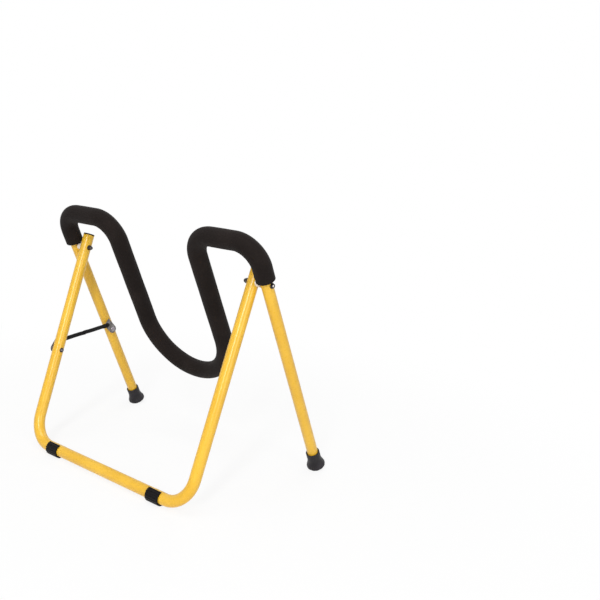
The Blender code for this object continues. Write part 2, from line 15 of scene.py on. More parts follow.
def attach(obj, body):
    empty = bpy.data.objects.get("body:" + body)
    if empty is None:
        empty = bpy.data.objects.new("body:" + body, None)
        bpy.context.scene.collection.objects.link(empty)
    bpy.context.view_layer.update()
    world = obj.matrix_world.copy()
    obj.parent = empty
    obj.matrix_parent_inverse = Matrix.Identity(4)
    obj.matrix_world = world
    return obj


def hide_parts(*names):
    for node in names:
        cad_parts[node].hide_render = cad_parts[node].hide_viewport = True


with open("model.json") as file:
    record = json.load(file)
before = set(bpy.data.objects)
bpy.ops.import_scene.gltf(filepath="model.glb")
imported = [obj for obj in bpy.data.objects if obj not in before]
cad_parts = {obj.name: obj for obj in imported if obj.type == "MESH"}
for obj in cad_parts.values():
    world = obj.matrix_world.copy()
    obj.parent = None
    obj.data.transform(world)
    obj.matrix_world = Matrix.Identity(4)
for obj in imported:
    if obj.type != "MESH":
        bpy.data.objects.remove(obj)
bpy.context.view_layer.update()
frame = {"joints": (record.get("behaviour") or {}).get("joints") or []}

FULL_TURN = 2 * math.pi
HALF_TURN = math.pi
QUARTER = math.pi / 2

# Places of the hinges, which give the lean of each frame
places = {joint["name"]: Vector(joint["pos_m"]) for joint in frame["joints"]}
PIVOT = places["fold"]
FRONT = places["front_link_swing"]
REAR = places["rear_link_swing"]
STAY_PIVOT_FORWARD = 0.0114
LINK_PIVOT_REACH = math.hypot(PIVOT.y - FRONT.y, PIVOT.z - FRONT.z)
LINK_PIVOT_OFFSET = math.asin(STAY_PIVOT_FORWARD / LINK_PIVOT_REACH)
BASE_LEAN = math.atan2(PIVOT.y - FRONT.y, PIVOT.z - FRONT.z) + LINK_PIVOT_OFFSET
SADDLE_LEAN = math.atan2(REAR.y - PIVOT.y, PIVOT.z - REAR.z) + LINK_PIVOT_OFFSET
BASE_PLANE = Matrix.Translation(PIVOT) @ Matrix.Rotation(-BASE_LEAN, 4, "X")
SADDLE_PLANE = Matrix.Translation(PIVOT) @ Matrix.Rotation(SADDLE_LEAN, 4, "X")

# Gap between pieces that touch or fit together, and how close two places count as one
FIT_GAP = 0.0003
SAME_PLACE = 0.00003

# How finely round shapes are cut up, and from what angle an edge stays sharp
ROUNDING_STEP = math.radians(18)
DOME_STEPS = 10
SMOOTH_ANGLE = math.radians(35)
BEVEL_ANGLE = math.radians(40)
BEVEL_SEGMENTS = 2

# Tube of both frames
TUBE_RADIUS = 0.0127
TUBE_WALL = 0.0015
TUBE_EDGE = 0.0003
TUBE_SIDES = 48
BEND_STEP = math.radians(4)

# Base frame
BASE_DROP = 0.473
ARM_SPACING_AT_BAR = 0.501
ARM_ABOVE_PIVOT = 0.030
BASE_CORNER_RADIUS = 0.062

# Saddle frame
LEG_DROP = 0.506
LEG_SPACING_AT_PIVOT = 0.597
LEG_SPACING_AT_SOLE = 0.6186
LOOP_RISE = 0.093
LOOP_RADIUS = 0.055
CRADLE_WIDTH = 0.248
CRADLE_DROP = 0.303

# Foam sleeve
FOAM_RADIUS = 0.0207
FOAM_ABOVE_PIVOT = 0.010
FOAM_EDGE = 0.0016
FOAM_STATION = 0.004
FOAM_SIDES = 56
FOAM_SWELL = 0.0003
FOAM_SWELL_PER_METRE = 26
FOAM_PUCKER = 0.00035
FOAM_PUCKER_PITCH = 0.0075

# Rubber feet
SOLE_RADIUS = 0.0215
SOLE_EDGE = 0.006
SOLE_ROUNDING = 0.0022
SOLE_THICKNESS = 0.009
FOOT_HEIGHT = 0.043
FOOT_COLLAR_RADIUS = 0.016
FOOT_FLARE_HEIGHT = 0.019
FOOT_FLARE_CURVE = 1.6
FOOT_LIP = 0.0009
FLUTES = 12
FLUTE_SIDES = 10
FLUTE_DEPTH = 0.0007
FLUTE_TOP = 0.020
FLUTE_SHARPNESS = 3

# Floor clips
CLIP_WALL = 0.0038
CLIP_RADIUS = TUBE_RADIUS + FIT_GAP + CLIP_WALL
CLIP_LENGTH = 0.036
CLIP_SPACING = 0.330
CLIP_EDGE = 0.0007
CLIP_SLOT_DIRECTION = math.radians(61) + BASE_LEAN
CLIP_SLOT_WIDTH = math.radians(84)
CLIP_LAND = math.radians(40)
CLIP_RIB_PITCH = math.radians(18)
CLIP_RIB_DEPTH = 0.0013
CLIP_GROOVE_HALF_WIDTH = 0.28
CLIP_GROOVE_CURVE = 0.7
CLIP_STEP = math.radians(1.6)
CLIP_SMOOTH_ANGLE = math.radians(28)

# End plugs
PLUG_CAP = 0.003
PLUG_STEM = 0.014
PLUG_CROWN = 0.0005

# Bolts, washers and cap nuts. An eye is the end of a shank inside its rolled rim.
BOLT_RADIUS = 0.003
BOLT_SIDES = 40
PIVOT_HEAD_RADIUS = 0.005
PIVOT_HEAD_HEIGHT = 0.0032
EYE_RADIUS = 0.0025
WASHER_RADIUS = 0.0062
WASHER_THICKNESS = 0.0012
WASHER_SIDES = 48
WASHER_ROUNDING_STEP = math.radians(30)
NUT_ACROSS_FLATS = 0.010
NUT_HEX_HEIGHT = 0.0045
NUT_DOME_RADIUS = 0.0047
NUT_DOME_HEIGHT = 0.0048
NUT_DOME_LIP = 0.000125
NUT_DOME_STEPS = 12
NUT_SIDES = 72
NUT_CHAMFER = 0.0005
NUT_CHAMFER_INWARD = 0.0008
THREAD_IN_NUT = 0.006

# Nylon spacers between arm and leg
SPACER_LENGTH = 0.0101
SPACER_RADIUS = 0.0085
SPACER_WRAP = 0.003
SPACER_EDGE = 0.0006
SPACER_SIDES = 48

# Stay. Forward is from a bracket's tube towards the other frame.
STAY_PIVOT_RISE = 0.0204
ANCHOR_HEAD_RADIUS = 0.0062
ANCHOR_HEAD_HEIGHT = 0.0024
ANCHOR_TAIL_RADIUS = 0.0056
ANCHOR_TAIL_HEIGHT = 0.0016
LINK_THICKNESS = 0.0025
LINK_HALF_WIDTH = 0.0050
LINK_END_HALF_WIDTH = 0.0058
LINK_END_LENGTH = 0.012
LINK_TAPER = 0.006
LINK_STEP_START = 0.008
LINK_STEP_END = 0.068
LINK_EDGE = 0.0005
LINK_CHANNEL = 0.0006
LINK_CHANNEL_HALF_WIDTH = 0.0016
LINK_CHANNEL_FLOOR = 0.6
LINK_CHANNEL_FADE = 0.006
LINK_STATION = 0.0011
LINK_END_STEPS = 12
ELBOW_HEAD_RADIUS = 0.0036
ELBOW_HEAD_HEIGHT = 0.001
RIVET_RADIUS = 0.0025
RIVET_HEAD_RADIUS = 0.0045
RIVET_HEAD_HEIGHT = 0.0015
RIVET_DOME_STEPS = 8
RIVET_SIDES = 32
BRACKET_THICKNESS = 0.002
BRACKET_STANDOFF = 0.0008
BRACKET_EDGE = 0.0004
BRACKET_FOOT_RADIUS = 0.0105
BRACKET_EAR_RADIUS = 0.006
BRACKET_APEX_RISE = 0.030
BRACKET_APEX_FORWARD = 0.001
BRACKET_APEX_RADIUS = 0.003
SEAT_RADIUS = 0.009
SEAT_WRAP = 0.003

# What follows from the sizes above
ARM_SPACING_AT_PIVOT = LEG_SPACING_AT_PIVOT - 2 * (2 * TUBE_RADIUS + SPACER_LENGTH)
ARM_SLOPE = (ARM_SPACING_AT_PIVOT - ARM_SPACING_AT_BAR) / 2 / BASE_DROP
LEG_SLOPE = (LEG_SPACING_AT_SOLE - LEG_SPACING_AT_PIVOT) / 2 / LEG_DROP
OPEN_ANGLE = BASE_LEAN + SADDLE_LEAN
NUT_HALF_FLAT_ANGLE = FULL_TURN / 12
NUT_CORNER_RADIUS = NUT_ACROSS_FLATS / 2 / math.cos(NUT_HALF_FLAT_ANGLE)
LINK_PIVOT_DROP = math.sqrt(LINK_PIVOT_REACH ** 2 - STAY_PIVOT_FORWARD ** 2)
STAY_ANCHOR_DROP = LINK_PIVOT_DROP + STAY_PIVOT_RISE
LINK_LENGTH = LINK_PIVOT_REACH * math.sin(OPEN_ANGLE / 2 - LINK_PIVOT_OFFSET)
LINK_OPEN_ANGLE = QUARTER - OPEN_ANGLE / 2
BRACKET_FACE = TUBE_RADIUS + BRACKET_STANDOFF + BRACKET_THICKNESS

# Camera, from a fit to the tube lines of the photograph
PHOTO_SIZE = 600
AIM_HEIGHT = 0.280
AIM_PIXEL = (159.3, 342.2)
CAMERA_TURN = math.radians(34.824)
CAMERA_PITCH = math.radians(11.796)
CAMERA_ROLL = math.radians(4.123)
CAMERA_DISTANCE = 1.6496
CAMERA_LENS = 43.39
SENSOR_WIDTH = 36.0

# How brightly the surroundings light the stand, where white is 1
WORLD_LEVEL = 0.31

# Floor, just below the feet. Near the stand it takes this share of shade, which fades out.
FLOOR_DROP = 0.0002
FLOOR_REACH = 6.0
FLOOR_SHADE = 0.14
FLOOR_SHADE_FULL = 0.35
FLOOR_SHADE_GONE = 1.3


def arm_x(height):
    """Distance of a base arm's centre from the middle, at a height above the pivot."""
    return ARM_SPACING_AT_PIVOT / 2 + ARM_SLOPE * height


def leg_x(height):
    """Distance of a saddle leg's centre from the middle, at a height above the pivot."""
    return LEG_SPACING_AT_PIVOT / 2 - LEG_SLOPE * height


class Wire:
    """A value on its way through a finish's nodes. Arithmetic on a number adds Math nodes."""

    def __init__(self, finish, socket):
        self.finish = finish
        self.socket = socket

    def maths(self, operation, first, second):
        return self.finish.add("Math", {"operation": operation}, {0: first, 1: second})

    def __add__(self, other):
        return self.maths("ADD", self, other)

    def __radd__(self, other):
        return self.maths("ADD", other, self)

    def __sub__(self, other):
        return self.maths("SUBTRACT", self, other)

    def __rsub__(self, other):
        return self.maths("SUBTRACT", other, self)

    def __mul__(self, other):
        return self.maths("MULTIPLY", self, other)

    def __rmul__(self, other):
        return self.maths("MULTIPLY", other, self)


class Finish:
    """A material, built up node by node around its shader."""

    def __init__(self, name):
        self.material = bpy.data.materials.new(name)
        self.material.use_nodes = True
        self.tree = self.material.node_tree
        self.shader = self.tree.nodes["Principled BSDF"]
        self.place = self.add("TexCoord", output="Object")

    def add(self, kind, settings=None, sockets=None, output=0):
        """Adds one node: its settings first, then the values or wires of its sockets."""
        node = self.tree.nodes.new("ShaderNode" + kind)
        for name, value in (settings or {}).items():
            setattr(node, name, value)
        for name, value in (sockets or {}).items():
            self.plug(node.inputs[name], value)
        return Wire(self, node.outputs[output])

    def plug(self, socket, value):
        """Sets a socket to a number or a colour, or links a wire to it."""
        if isinstance(value, Wire):
            self.tree.links.new(value.socket, socket)
        elif isinstance(value, tuple) and len(value) == 3 and socket.type == "RGBA":
            socket.default_value = (*value, 1.0)
        else:
            socket.default_value = value

    def coat(self, **values):
        """Sets the shader's own sockets, with spaces of their names written as underscores."""
        for name, value in values.items():
            self.plug(self.shader.inputs[name.replace("_", " ")], value)

    def stretched(self, along):
        """The place on the piece, drawn out along its axes for grain that runs one way."""
        return self.add("VectorMath", {"operation": "MULTIPLY"}, {0: self.place, 1: along})

    def mottle(self, per_metre, detail=2.0, place=None):
        """Soft patches between 0 and 1."""
        values = {"Vector": place or self.place, "Scale": per_metre, "Detail": detail}
        return self.add("TexNoise", None, values)

    def cells(self, per_metre):
        """Distance from the nearest of many scattered points."""
        return self.add("TexVoronoi", None, {"Vector": self.place, "Scale": per_metre})

    def between(self, value, low, high):
        """A value stretched so that low becomes 0 and high becomes 1, and held there."""
        return self.add("MapRange", {"interpolation_type": "SMOOTHSTEP"},
                        {"Value": value, "From Min": low, "From Max": high})

    def blend(self, share, first, second):
        """Colour that goes from the first to the second as share goes from 0 to 1."""
        return self.add("Mix", {"data_type": "RGBA"}, {0: share, 6: first, 7: second}, output=2)

    def relief(self, height, depth, under=None):
        """Bump that stands up by depth metres where height is 1."""
        sockets = {"Height": height, "Distance": depth, "Strength": 1.0}
        if under:
            sockets["Normal"] = under
        return self.add("Bump", None, sockets)


def powder_coat():
    """Yellow powder coat: a satin gloss with faint orange peel and slow shifts of thickness."""
    finish = Finish("yellow powder coat")
    thick = finish.between(finish.mottle(9, 3.0), 0.35, 0.65)
    peel = finish.mottle(420, 1.5)
    dust = finish.between(finish.mottle(70, 4.0), 0.55, 0.8)
    colour = finish.blend(thick, (0.745, 0.425, 0.026), (0.80, 0.475, 0.036))
    colour = finish.blend(dust * 0.08, colour, (0.93, 0.64, 0.20))
    finish.coat(Base_Color=colour, Roughness=0.25 + peel * 0.06 + dust * 0.08,
                Normal=finish.relief(peel, 0.00005), Specular_IOR_Level=0.5)
    return finish.material


def closed_cell_foam():
    """Black closed-cell foam: matte skin with fine cells, and greyer where it has been rubbed."""
    finish = Finish("black closed-cell foam")
    fine = finish.cells(900)
    coarse = finish.mottle(260, 3.0)
    rubbed = finish.between(finish.mottle(14, 4.0), 0.42, 0.72)
    speck = finish.between(finish.mottle(650, 2.0), 0.58, 0.75)
    colour = finish.blend(rubbed, (0.0112, 0.0082, 0.0073), (0.0175, 0.0130, 0.0116))
    colour = finish.blend(speck * 0.4, colour, (0.030, 0.024, 0.022))
    skin = finish.relief(coarse, 0.00022)
    finish.coat(Base_Color=colour, Roughness=0.78 + rubbed * 0.12,
                Normal=finish.relief(fine, 0.00012, skin), Sheen_Weight=0.04, Sheen_Roughness=0.5,
                Specular_IOR_Level=0.07)
    return finish.material


def moulded_rubber():
    """Dark grey moulded rubber with a satin skin, and paler bloom in patches."""
    finish = Finish("dark grey moulded rubber")
    grain = finish.mottle(900, 2.0)
    bloom = finish.between(finish.mottle(60, 3.0), 0.4, 0.75)
    colour = finish.blend(bloom, (0.0085, 0.0070, 0.0090), (0.018, 0.0150, 0.0190))
    finish.coat(Base_Color=colour, Roughness=0.44 + bloom * 0.14, Normal=finish.relief(grain, 0.00006),
                Specular_IOR_Level=0.3)
    return finish.material


def moulded_plastic(name, colour, roughness):
    """Black moulded plastic with a fine spark-eroded grain and faint flow marks."""
    finish = Finish(name)
    grain = finish.mottle(1300, 2.0)
    flow = finish.between(finish.mottle(40, 2.0, finish.stretched((0.25, 1.0, 1.0))), 0.35, 0.7)
    paler = tuple(channel * 1.7 for channel in colour)
    finish.coat(Base_Color=finish.blend(flow, colour, paler), Roughness=roughness + flow * 0.1,
                Normal=finish.relief(grain, 0.00005), Specular_IOR_Level=0.13)
    return finish.material


def plated_steel(name, bright, duller):
    """Plated steel with fine turning marks and slightly duller patches."""
    finish = Finish(name)
    turning = finish.mottle(1600, 2.0, finish.stretched((1.0, 1.0, 6.0)))
    dull = finish.between(finish.mottle(180, 3.0), 0.45, 0.75)
    colour = finish.blend(dull, bright, duller)
    finish.coat(Base_Color=colour, Metallic=1.0, Roughness=0.24 + dull * 0.16,
                Normal=finish.relief(turning, 0.00001))
    return finish.material


def dark_steel():
    """Oiled, darkened steel with a thin grey wear along its turning marks."""
    finish = Finish("darkened steel")
    turning = finish.mottle(1400, 2.0, finish.stretched((1.0, 1.0, 6.0)))
    worn = finish.between(finish.mottle(240, 4.0), 0.55, 0.8)
    colour = finish.blend(worn, (0.055, 0.050, 0.052), (0.16, 0.15, 0.155))
    finish.coat(Base_Color=colour, Metallic=0.9, Roughness=0.34 + worn * 0.1,
                Normal=finish.relief(turning, 0.00002))
    return finish.material


def zinc_plate():
    """Grey zinc plate with the faint green-yellow clouding of a passivated part."""
    finish = Finish("grey zinc plate")
    cloud = finish.between(finish.mottle(160, 4.0), 0.35, 0.7)
    pits = finish.mottle(1400, 3.0)
    colour = finish.blend(cloud, (0.125, 0.114, 0.108), (0.25, 0.238, 0.238))
    finish.coat(Base_Color=colour, Metallic=0.8, Roughness=0.38 + cloud * 0.12,
                Normal=finish.relief(pits, 0.00004))
    return finish.material


def natural_nylon():
    """Off-white nylon, a little waxy, with turning lines round it."""
    finish = Finish("natural nylon")
    lines = finish.mottle(900, 1.0, finish.stretched((0.1, 0.1, 1.0)))
    warm = finish.between(finish.mottle(110, 3.0), 0.35, 0.7)
    colour = finish.blend(warm, (0.72, 0.63, 0.55), (0.80, 0.73, 0.66))
    finish.coat(Base_Color=colour, Roughness=0.38 + warm * 0.08, Normal=finish.relief(lines, 0.00003),
                Subsurface_Weight=0.12, Subsurface_Radius=(0.002, 0.0015, 0.001))
    return finish.material


def black_strip():
    """Black coated steel strip, semi-gloss, with faint rub marks along it."""
    finish = Finish("black coated steel strip")
    rub = finish.between(finish.mottle(300, 3.0, finish.stretched((1.0, 1.0, 0.12))), 0.55, 0.8)
    peel = finish.mottle(700, 1.0)
    colour = finish.blend(rub * 0.5, (0.0035, 0.0032, 0.0036), (0.020, 0.020, 0.022))
    finish.coat(Base_Color=colour, Roughness=0.34 + rub * 0.16, Normal=finish.relief(peel, 0.00003),
                Specular_IOR_Level=0.14)
    return finish.material


def bent_line(corners, radii, station=None, step=BEND_STEP):
    """Points, headings and inward sides along straight runs joined by arcs, in two dimensions.

    A station length also divides the straight runs. The third value of a point is the bend's
    inward direction, or None where the line is straight.
    """
    runs = [Vector(corner) for corner in corners]
    line = []

    def straight_to(end, heading):
        start = line[-1][0]
        length = (end - start).length
        count = max(1, round(length / station)) if station else 1
        for i in range(1, count + 1):
            line.append((start.lerp(end, i / count), heading, None))

    line.append((runs[0], (runs[1] - runs[0]).normalized(), None))
    for before, corner, after, radius in zip(runs, runs[1:], runs[2:], radii):
        arriving = (corner - before).normalized()
        leaving = (after - corner).normalized()
        turn = -arriving.angle_signed(leaving)
        start = corner - arriving * radius * math.tan(abs(turn) / 2)
        if (start - line[-1][0]).length > SAME_PLACE:
            straight_to(start, arriving)
        side = Vector((-arriving.y, arriving.x)) * math.copysign(1.0, turn)
        centre = start + side * radius
        arc_step = min(step, station / radius) if station else step
        count = math.ceil(abs(turn) / arc_step) if radius else 0
        line.pop()
        for i in range(count + 1):
            swing = Matrix.Rotation(turn * i / count if count else 0, 2)
            spoke = swing @ side
            line.append((centre - spoke * radius, swing @ arriving, spoke))
    straight_to(runs[-1], (runs[-1] - runs[-2]).normalized())
    return line


def ring_faces(mesh_data, first, second):
    """Joins two rings of equally many points by a band of faces."""
    for i in range(len(first)):
        j = (i + 1) % len(first)
        mesh_data.faces.new((first[i], first[j], second[j], second[i]))


def rounded_end(place, heading, edge):
    """Places near a cut end and how far the skin draws in there, for a rounded edge."""
    steps = 4
    stations = []
    for i in range(steps + 1):
        angle = QUARTER * (1 - i / steps)
        inset = edge * (1 - math.sin(angle))
        stations.append((place + heading * inset, edge * (1 - math.cos(angle))))
    return stations


def pipe(line, outer, bore, sides, edge, swell=None):
    """A hollow round section along a line in the X-Z plane, with rounded cut edges.

    swell(place, spoke, inward) gives how far a point of the outer skin stands proud.
    """
    first, last = line[0], line[-1]
    skin = [(place, first[1], first[2], drawn) for place, drawn in rounded_end(first[0], first[1], edge)]
    skin += [(place, heading, inward, 0.0) for place, heading, inward in line[1:-1]]
    skin += [(place, last[1], last[2], drawn)
             for place, drawn in reversed(rounded_end(last[0], -last[1], edge))]
    lining = [(*station, 0.0) for station in line]
    mesh_data = bmesh.new()
    outside = []
    inside = []
    for stations, rings, radius in ((skin, outside, outer), (lining, inside, bore)):
        for place, heading, inward, drawn in stations:
            centre = Vector((place.x, 0, place.y))
            across = Vector((-heading.y, 0, heading.x))
            bend = Vector((inward.x, 0, inward.y)) if inward else None
            ring = []
            for i in range(sides):
                angle = FULL_TURN * i / sides
                spoke = across * math.cos(angle) + Vector((0, math.sin(angle), 0))
                reach = radius - drawn
                if swell and rings is outside:
                    reach += swell(centre, spoke, bend)
                ring.append(mesh_data.verts.new(centre + spoke * reach))
            rings.append(ring)
        for near, far in zip(rings, rings[1:]):
            ring_faces(mesh_data, near, far)
    for end in (0, -1):
        ring_faces(mesh_data, outside[end], inside[end])
    return mesh_data


def turned(profile, sides, ring=False, shape=None):
    """A shape turned about Z from (height, radius) pairs.

    A ring's profile is a closed loop clear of the axis. shape(height, radius, angle) may give
    a point another radius and height.
    """
    mesh_data = bmesh.new()
    loops = []
    for height, radius in profile:
        if radius < SAME_PLACE:
            loops.append([mesh_data.verts.new((0, 0, height))])
            continue
        loop = []
        for i in range(sides):
            angle = FULL_TURN * i / sides
            level, reach = shape(height, radius, angle) if shape else (height, radius)
            loop.append(mesh_data.verts.new((reach * math.cos(angle), reach * math.sin(angle), level)))
        loops.append(loop)
    if ring:
        loops.append(loops[0])
    for first, second in zip(loops, loops[1:]):
        if len(first) == len(second):
            ring_faces(mesh_data, first, second)
            continue
        pole, rim = (first[0], second) if len(first) == 1 else (second[0], first)
        for i in range(sides):
            mesh_data.faces.new((rim[i], rim[(i + 1) % sides], pole))
    return mesh_data


def softened(corners, radii, step=ROUNDING_STEP):
    """The points of a turned piece's profile, with its corners rounded."""
    return [tuple(point) for point, heading, inward in bent_line(corners, radii, step=step)]


def dome(start, height, radius, steps=DOME_STEPS):
    """Profile of a rounded head, from its rim to the axis."""
    profile = []
    for i in range(steps + 1):
        angle = QUARTER * i / steps
        profile.append((start + height * math.sin(angle), radius * math.cos(angle)))
    return profile


def extruded(outline, low, high):
    """A flat plate from a (Y, Z) outline, between two places along X."""
    mesh_data = bmesh.new()
    near = [mesh_data.verts.new((low, y, z)) for y, z in outline]
    far = [mesh_data.verts.new((high, y, z)) for y, z in outline]
    ring_faces(mesh_data, near, far)
    mesh_data.faces.new(near)
    mesh_data.faces.new(far)
    return mesh_data


def aimed(place, direction):
    """Matrix that puts a turned piece's start at a place and its axis along a direction."""
    return Matrix.Translation(place) @ Vector(direction).to_track_quat("Z", "Y").to_matrix().to_4x4()


def settle(name, mesh_data, at, body, coat, node, smooth_angle=SMOOTH_ANGLE):
    """Makes a piece from its mesh, in place of a CAD node and riding on that node's body."""
    bmesh.ops.recalc_face_normals(mesh_data, faces=mesh_data.faces)
    mesh = bpy.data.meshes.new(name)
    mesh_data.to_mesh(mesh)
    mesh_data.free()
    mesh.shade_smooth()
    mesh.set_sharp_from_angle(angle=smooth_angle)
    mesh.materials.append(coat)
    piece = bpy.data.objects.new(name, mesh)
    piece.matrix_world = at
    bpy.context.collection.objects.link(piece)
    bpy.context.view_layer.update()
    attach(piece, body)
    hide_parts(node)
    return piece


def eased_edges(piece, width):
    """Small bevel along every edge that turns sharply."""
    bevel = piece.modifiers.new("eased edges", "BEVEL")
    bevel.width = width
    bevel.segments = BEVEL_SEGMENTS
    bevel.limit_method = "ANGLE"
    bevel.angle_limit = BEVEL_ANGLE


def rest_on_floor(mesh_data, at):
    """Flattens what would reach below the floor, as the weight on it does."""
    back = at.inverted()
    for vertex in mesh_data.verts:
        place = at @ vertex.co
        if place.z < 0:
            place.z = 0
            vertex.co = back @ place
    return mesh_data


def make_base_tube(coat):
    low = arm_x(-BASE_DROP)
    top = arm_x(ARM_ABOVE_PIVOT)
    corners = [(-top, ARM_ABOVE_PIVOT), (-low, -BASE_DROP), (low, -BASE_DROP), (top, ARM_ABOVE_PIVOT)]
    line = bent_line(corners, [BASE_CORNER_RADIUS] * 2)
    mesh_data = pipe(line, TUBE_RADIUS, TUBE_RADIUS - TUBE_WALL, TUBE_SIDES, TUBE_EDGE)
    settle("base_pipe", mesh_data, BASE_PLANE, "base_frame", coat, "base_tube")


def saddle_line(end_height, station=None):
    """The saddle frame's line from one leg to the other, both cut at a height from the pivot."""
    end = leg_x(end_height)
    top = leg_x(LOOP_RISE)
    wide = CRADLE_WIDTH / 2
    half = [(-end, end_height), (-top, LOOP_RISE), (-wide, LOOP_RISE), (-wide, -CRADLE_DROP)]
    corners = half + [(-x, z) for x, z in reversed(half)]
    return bent_line(corners, [LOOP_RADIUS, LOOP_RADIUS, wide, wide, LOOP_RADIUS, LOOP_RADIUS], station)


def make_saddle_tube(coat):
    line = saddle_line(-(LEG_DROP - SOLE_THICKNESS - FIT_GAP))
    mesh_data = pipe(line, TUBE_RADIUS, TUBE_RADIUS - TUBE_WALL, TUBE_SIDES, TUBE_EDGE)
    settle("saddle_pipe", mesh_data, SADDLE_PLANE, "saddle_frame", coat, "saddle_tube")


def foam_swell(centre, spoke, inward):
    """Slow unevenness of the foam's skin, and small puckers on the inside of its bends."""
    place = centre + spoke * FOAM_RADIUS
    rise = FOAM_SWELL * noise.noise(place * FOAM_SWELL_PER_METRE)
    if inward:
        pinch = max(0.0, spoke.dot(inward)) ** 2
        along = (place - inward * FOAM_RADIUS).length / FOAM_PUCKER_PITCH
        rise -= FOAM_PUCKER * pinch * (0.5 + 0.5 * math.sin(FULL_TURN * along))
    return rise


def make_foam(coat):
    line = saddle_line(FOAM_ABOVE_PIVOT, FOAM_STATION)
    mesh_data = pipe(line, FOAM_RADIUS, TUBE_RADIUS + FIT_GAP, FOAM_SIDES, FOAM_EDGE, foam_swell)
    foam = settle("foam_cover", mesh_data, SADDLE_PLANE, "saddle_frame", coat, "foam_sleeve")


def make_end_plug(word, side, coat):
    stem = TUBE_RADIUS - TUBE_WALL - FIT_GAP
    profile = softened(
        [(-PLUG_STEM, 0), (-PLUG_STEM, stem), (FIT_GAP, stem), (FIT_GAP, TUBE_RADIUS),
         (PLUG_CAP, TUBE_RADIUS), (PLUG_CAP + PLUG_CROWN, 0)],
        [PLUG_CROWN, 0, FIT_GAP, PLUG_CROWN])
    top = (side * arm_x(ARM_ABOVE_PIVOT), 0, ARM_ABOVE_PIVOT)
    at = BASE_PLANE @ aimed(top, (side * ARM_SLOPE, 0, 1))
    settle("plug_" + word, turned(profile, TUBE_SIDES), at, "base_frame", coat,
           "end_plug_" + word)


def clip_section():
    """Outline of a floor clip as (radius, angle) pairs, and the radius of its wall's middle.

    The outline runs round the bore, one lip, the ribbed outside and the other lip.
    """
    bore = TUBE_RADIUS + FIT_GAP
    middle = (bore + CLIP_RADIUS) / 2
    half_wall = CLIP_WALL / 2
    lip = half_wall / middle
    start = CLIP_SLOT_DIRECTION + CLIP_SLOT_WIDTH / 2 + lip
    end = CLIP_SLOT_DIRECTION - CLIP_SLOT_WIDTH / 2 - lip + FULL_TURN
    down = 3 * QUARTER + BASE_LEAN
    count = round((end - start) / CLIP_STEP)
    angles = [start + (end - start) * i / count for i in range(count + 1)]
    section = [(bore, angle) for angle in angles]
    lip_steps = 6
    for i in range(1, lip_steps):
        swing = HALF_TURN * i / lip_steps
        section.append((middle - half_wall * math.cos(swing), end + lip * math.sin(swing)))
    for angle in reversed(angles):
        off_land = abs(angle - down) - CLIP_LAND / 2
        groove = 0.0
        if off_land > 0:
            phase = off_land / CLIP_RIB_PITCH % 1
            groove = max(0.0, 1 - abs(phase - 0.5) / CLIP_GROOVE_HALF_WIDTH) ** CLIP_GROOVE_CURVE
        section.append((CLIP_RADIUS - CLIP_RIB_DEPTH * groove, angle))
    for i in range(1, lip_steps):
        swing = HALF_TURN * i / lip_steps
        section.append((middle + half_wall * math.cos(swing), start - lip * math.sin(swing)))
    return section, middle


def make_floor_clip(word, side, coat):
    section, middle = clip_section()
    half = CLIP_LENGTH / 2
    mesh_data = bmesh.new()
    loops = []
    stations = ((-half, CLIP_EDGE), (-half + CLIP_EDGE, 0), (half - CLIP_EDGE, 0), (half, CLIP_EDGE))
    for along, drawn in stations:
        loop = []
        for radius, angle in section:
            reach = radius + math.copysign(min(drawn, abs(middle - radius)), middle - radius)
            loop.append(mesh_data.verts.new((along, reach * math.cos(angle), reach * math.sin(angle))))
        loops.append(loop)
    for first, second in zip(loops, loops[1:]):
        ring_faces(mesh_data, first, second)
    mesh_data.faces.new(loops[0])
    mesh_data.faces.new(loops[-1])
    at = BASE_PLANE @ Matrix.Translation((side * CLIP_SPACING / 2, 0, -BASE_DROP))
    settle("clip_" + word, rest_on_floor(mesh_data, at), at, "base_frame", coat,
           "floor_clip_" + word, CLIP_SMOOTH_ANGLE)


def fluted(height, radius, angle):
    """Shallow upright notches round the foot's flare, which fade out below the collar."""
    notch = max(0.0, math.cos(FLUTES * angle)) ** FLUTE_SHARPNESS
    fade = max(0.0, min(1.0, (FLUTE_TOP - height) / (FLUTE_TOP - SOLE_EDGE)))
    outside = max(0.0, min(1.0, (radius - TUBE_RADIUS) / (FOOT_COLLAR_RADIUS - TUBE_RADIUS)))
    return height, radius - FLUTE_DEPTH * notch * fade * outside


def make_foot(word, side, coat):
    bore = TUBE_RADIUS + FIT_GAP
    flare = []
    flare_steps = 12
    for i in range(flare_steps + 1):
        share = i / flare_steps
        spread = (1 - share) ** FOOT_FLARE_CURVE
        radius = FOOT_COLLAR_RADIUS + (SOLE_RADIUS - FOOT_COLLAR_RADIUS) * spread
        flare.append((SOLE_EDGE + FOOT_FLARE_HEIGHT * share, radius))
    sole = softened([(0, 0), (0, SOLE_RADIUS), flare[0]], [SOLE_ROUNDING])
    rings = 6
    sole_face = [(0, sole[1][1] * i / rings) for i in range(rings)]
    collar = softened(
        [flare[-1], (FOOT_HEIGHT, FOOT_COLLAR_RADIUS), (FOOT_HEIGHT, bore + FOOT_LIP),
         (FOOT_HEIGHT - FOOT_LIP, bore), (SOLE_THICKNESS, bore), (SOLE_THICKNESS, 0)],
        [FOOT_LIP, 0, 0, 0])
    profile = sole_face + sole[1:-1] + flare + collar[1:]
    bottom = (side * leg_x(-LEG_DROP), 0, -LEG_DROP)
    at = SADDLE_PLANE @ aimed(bottom, (-side * LEG_SLOPE, 0, 1))
    mesh_data = rest_on_floor(turned(profile, FLUTES * FLUTE_SIDES, shape=fluted), at)
    settle("foot_" + word, mesh_data, at, "saddle_frame", coat, "rubber_foot_" + word)


def backwards(profile):
    """A profile turned end for end about its start."""
    return [(-height, radius) for height, radius in reversed(profile)]


